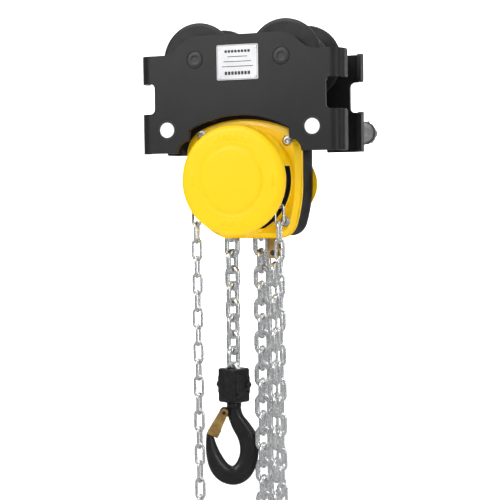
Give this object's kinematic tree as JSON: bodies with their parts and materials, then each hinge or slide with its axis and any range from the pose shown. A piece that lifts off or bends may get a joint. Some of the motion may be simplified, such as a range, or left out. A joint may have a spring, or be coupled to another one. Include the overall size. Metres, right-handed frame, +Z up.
{
  "type": "beam trolley with hand chain hoist",
  "caption": "Low-headroom push trolley for an I-beam with a built-in hand chain hoist: side plates with wheels, round yellow housing, load chain, hand chain and latched hook.",
  "frame": {"origin": "middle of the beam's running surface, halfway between the four wheels' lowest tread points", "axes": "+X along the beam, -Y the side with the hand wheel and nameplate, +Z up"},
  "size_m": [0.309, 0.311, 0.8005],
  "materials": {
    "black_paint": "satin black enamel",
    "wheel_black": "black painted casting",
    "black_axle": "black painted stub axle",
    "machined_steel": "machined and ground steel",
    "spring_steel": "blued spring steel",
    "zinc_fastener": "bright zinc plate",
    "nameplate_metal": "printed satin aluminium",
    "yellow_paint": "glossy yellow enamel",
    "chain_zinc": "bright galvanised",
    "cast_steel": "oiled casting",
    "friction_lining": "moulded brake lining",
    "yellow_zinc": "yellow passivated zinc plate",
    "hook_black": "black enamel on a forging",
    "black_fastener": "blackened bolts"
  },
  "bodies": {
    "root": {"anchor_pin": "machined_steel", "axle_retaining_rings": "spring_steel", "bearing_inner_rings": "machined_steel", "brake_cover": "yellow_paint", "castle_nuts": "zinc_fastener", "chain_anchor": "yellow_zinc", "chain_stripper": "machined_steel", "cotter_pins": "zinc_fastener", "frame_plate_front": "black_paint", "frame_plate_rear": "black_paint", "frame_shroud": "black_paint", "frame_stays": "zinc_fastener", "gear_cover": "yellow_paint", "gear_cover_screws": "zinc_fastener", "hand_chain": "chain_zinc", "hand_wheel_cover": "yellow_paint", "load_chain_slack": "chain_zinc", "nameplate": "nameplate_metal", "nameplate_rivets": "zinc_fastener", "pawl_pins": "machined_steel", "pawl_springs": "spring_steel", "roller_pins": "machined_steel", "sheave_bearings": "machined_steel", "side_plate_front": "black_paint", "side_plate_rear": "black_paint", "spacer_sleeves": "zinc_fastener", "stay_nuts": "zinc_fastener", "suspension_shafts": "machined_steel", "wheel_axles": "black_axle"},
    "wheel_front_left": {"wheel_front_left": "wheel_black", "wheel_bearing_front_left": "machined_steel"},
    "wheel_front_right": {"wheel_front_right": "wheel_black", "wheel_bearing_front_right": "machined_steel"},
    "wheel_rear_left": {"wheel_rear_left": "wheel_black", "wheel_bearing_rear_left": "machined_steel"},
    "wheel_rear_right": {"wheel_rear_right": "wheel_black", "wheel_bearing_rear_right": "machined_steel"},
    "load_sheave": {"load_sheave": "cast_steel", "load_gear": "machined_steel"},
    "drive": {"drive_shaft": "machined_steel", "brake_hub": "cast_steel", "friction_discs": "friction_lining", "ratchet_disc": "cast_steel", "hand_wheel": "cast_steel", "hand_wheel_nut": "zinc_fastener"},
    "disc_gear_left": {"disc_gear_left": "machined_steel"},
    "disc_gear_right": {"disc_gear_right": "machined_steel"},
    "hook_block": {"hook_block_halves": "hook_black", "block_bolts": "black_fastener", "chain_pin": "machined_steel", "load_chain_live": "chain_zinc"},
    "hook": {"load_hook": "hook_black", "hook_nut": "machined_steel", "latch_pin": "machined_steel", "latch_springs": "spring_steel"},
    "latch": {"hook_latch": "yellow_zinc"},
    "pawl_upper": {"pawl_upper": "cast_steel"},
    "pawl_lower": {"pawl_lower": "cast_steel"},
    "guide_roller_left": {"guide_roller_left": "machined_steel"},
    "guide_roller_right": {"guide_roller_right": "machined_steel"}
  },
  "joints": [
    {"name": "wheel_front_left_turn", "type": "hinge", "parent": "root", "child": "wheel_front_left", "pos_m": [-0.066, -0.04, 0.04], "axis": [0, 1, 0], "continuous": true},
    {"name": "wheel_front_right_turn", "type": "hinge", "parent": "root", "child": "wheel_front_right", "pos_m": [0.066, -0.04, 0.04], "axis": [0, 1, 0], "continuous": true},
    {"name": "wheel_rear_left_turn", "type": "hinge", "parent": "root", "child": "wheel_rear_left", "pos_m": [-0.066, 0.04, 0.04], "axis": [0, 1, 0], "continuous": true},
    {"name": "wheel_rear_right_turn", "type": "hinge", "parent": "root", "child": "wheel_rear_right", "pos_m": [0.066, 0.04, 0.04], "axis": [0, 1, 0], "continuous": true},
    {"name": "load_sheave_turn", "type": "hinge", "parent": "root", "child": "load_sheave", "pos_m": [-0.005, 0, -0.134], "axis": [0, 1, 0], "range_deg": [0, 180], "deforming": ["load_chain_slack"]},
    {"name": "drive_turn", "type": "hinge", "parent": "root", "child": "drive", "pos_m": [-0.005, 0, -0.134], "axis": [0, 1, 0], "range_deg": [-5, 1640], "deforming": ["hand_chain"]},
    {"name": "disc_gear_right_turn", "type": "hinge", "parent": "root", "child": "disc_gear_right", "pos_m": [0.03857, 0, -0.14012], "axis": [0, 1, 0], "range_deg": [-485, 5]},
    {"name": "disc_gear_left_turn", "type": "hinge", "parent": "root", "child": "disc_gear_left", "pos_m": [-0.04857, 0, -0.12788], "axis": [0, 1, 0], "range_deg": [-485, 5]},
    {"name": "hook_lift", "type": "slide", "parent": "root", "child": "hook_block", "axis": [0, 0, 1], "range_m": [-0.0005, 0.0965], "deforming": ["load_chain_live"]},
    {"name": "hook_swivel", "type": "hinge", "parent": "hook_block", "child": "hook", "pos_m": [-0.03625, 0, -0.459], "axis": [0, 0, 1], "continuous": true},
    {"name": "latch_open", "type": "hinge", "parent": "hook", "child": "latch", "pos_m": [-0.05027, -0.00533, -0.478], "axis": [0.3551, -0.9348, 0], "range_deg": [0, 33], "stiffness_Nm_per_rad": 0.05, "springref_deg": -34.38},
    {"name": "pawl_upper_lift", "type": "hinge", "parent": "root", "child": "pawl_upper", "pos_m": [-0.005, 0, -0.078], "axis": [0, -1, 0], "range_deg": [0, 12], "stiffness_Nm_per_rad": 0.02, "springref_deg": -34.38},
    {"name": "pawl_lower_lift", "type": "hinge", "parent": "root", "child": "pawl_lower", "pos_m": [-0.005, 0, -0.19], "axis": [0, -1, 0], "range_deg": [0, 12], "stiffness_Nm_per_rad": 0.02, "springref_deg": -34.38},
    {"name": "guide_roller_left_turn", "type": "hinge", "parent": "root", "child": "guide_roller_left", "pos_m": [-0.0585, 0, -0.158], "axis": [0, 1, 0], "continuous": true},
    {"name": "guide_roller_right_turn", "type": "hinge", "parent": "root", "child": "guide_roller_right", "pos_m": [0.049, 0, -0.148], "axis": [0, 1, 0], "continuous": true}
  ],
  "couplings": [
    {"joint": "drive_turn", "follows": "load_sheave_turn", "ratio": 9.0667},
    {"joint": "disc_gear_right_turn", "follows": "load_sheave_turn", "ratio": -2.6667},
    {"joint": "disc_gear_left_turn", "follows": "load_sheave_turn", "ratio": -2.6667},
    {"joint": "hook_lift", "follows": "load_sheave_turn", "m_per_rad": 0.030558}
  ]
}
